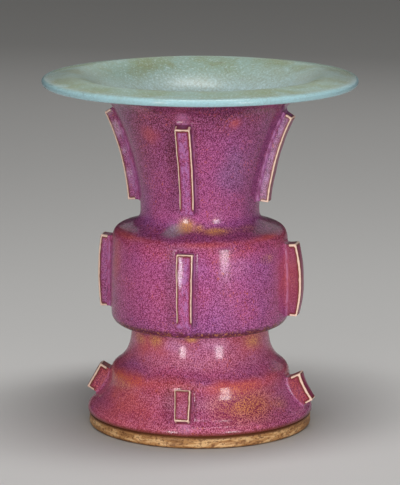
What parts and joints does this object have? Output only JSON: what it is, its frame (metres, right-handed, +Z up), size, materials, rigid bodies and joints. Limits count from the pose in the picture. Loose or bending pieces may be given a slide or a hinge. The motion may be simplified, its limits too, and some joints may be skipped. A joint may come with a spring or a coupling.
{
  "type": "flanged gu vase",
  "caption": "Glazed stoneware vase with a wide flat lip, trumpet neck, short drum and spreading foot, and upright flanges in columns up its sides.",
  "frame": {"origin": "on the vase's axis, at the underside of the foot ring", "axes": "+Z up along the vase's axis, -Y through the front column of flanges, +X to the right of someone facing that column"},
  "size_m": [0.26, 0.26, 0.2935],
  "materials": {
    "purple_glaze": "gloss, finely speckled purple glaze over cream clay",
    "rose_glaze": "gloss, speckled rose and orange glaze",
    "aqua_glaze": "gloss, opaque pale aqua glaze with fine crackle",
    "bare_clay": "matt brown unglazed stoneware"
  },
  "bodies": {
    "root": {"foot_ring": "bare_clay", "floor_disc": "aqua_glaze", "foot": "rose_glaze", "drum": "purple_glaze", "mouth_and_neck": "purple_glaze", "neck_flange_front": "purple_glaze", "neck_flange_right": "purple_glaze", "neck_flange_back": "purple_glaze", "neck_flange_left": "purple_glaze", "drum_flange_front": "purple_glaze", "drum_flange_right": "purple_glaze", "drum_flange_back": "purple_glaze", "drum_flange_left": "purple_glaze", "foot_flange_front": "rose_glaze", "foot_flange_right": "rose_glaze", "foot_flange_back": "rose_glaze", "foot_flange_left": "rose_glaze"}
  },
  "joints": []
}
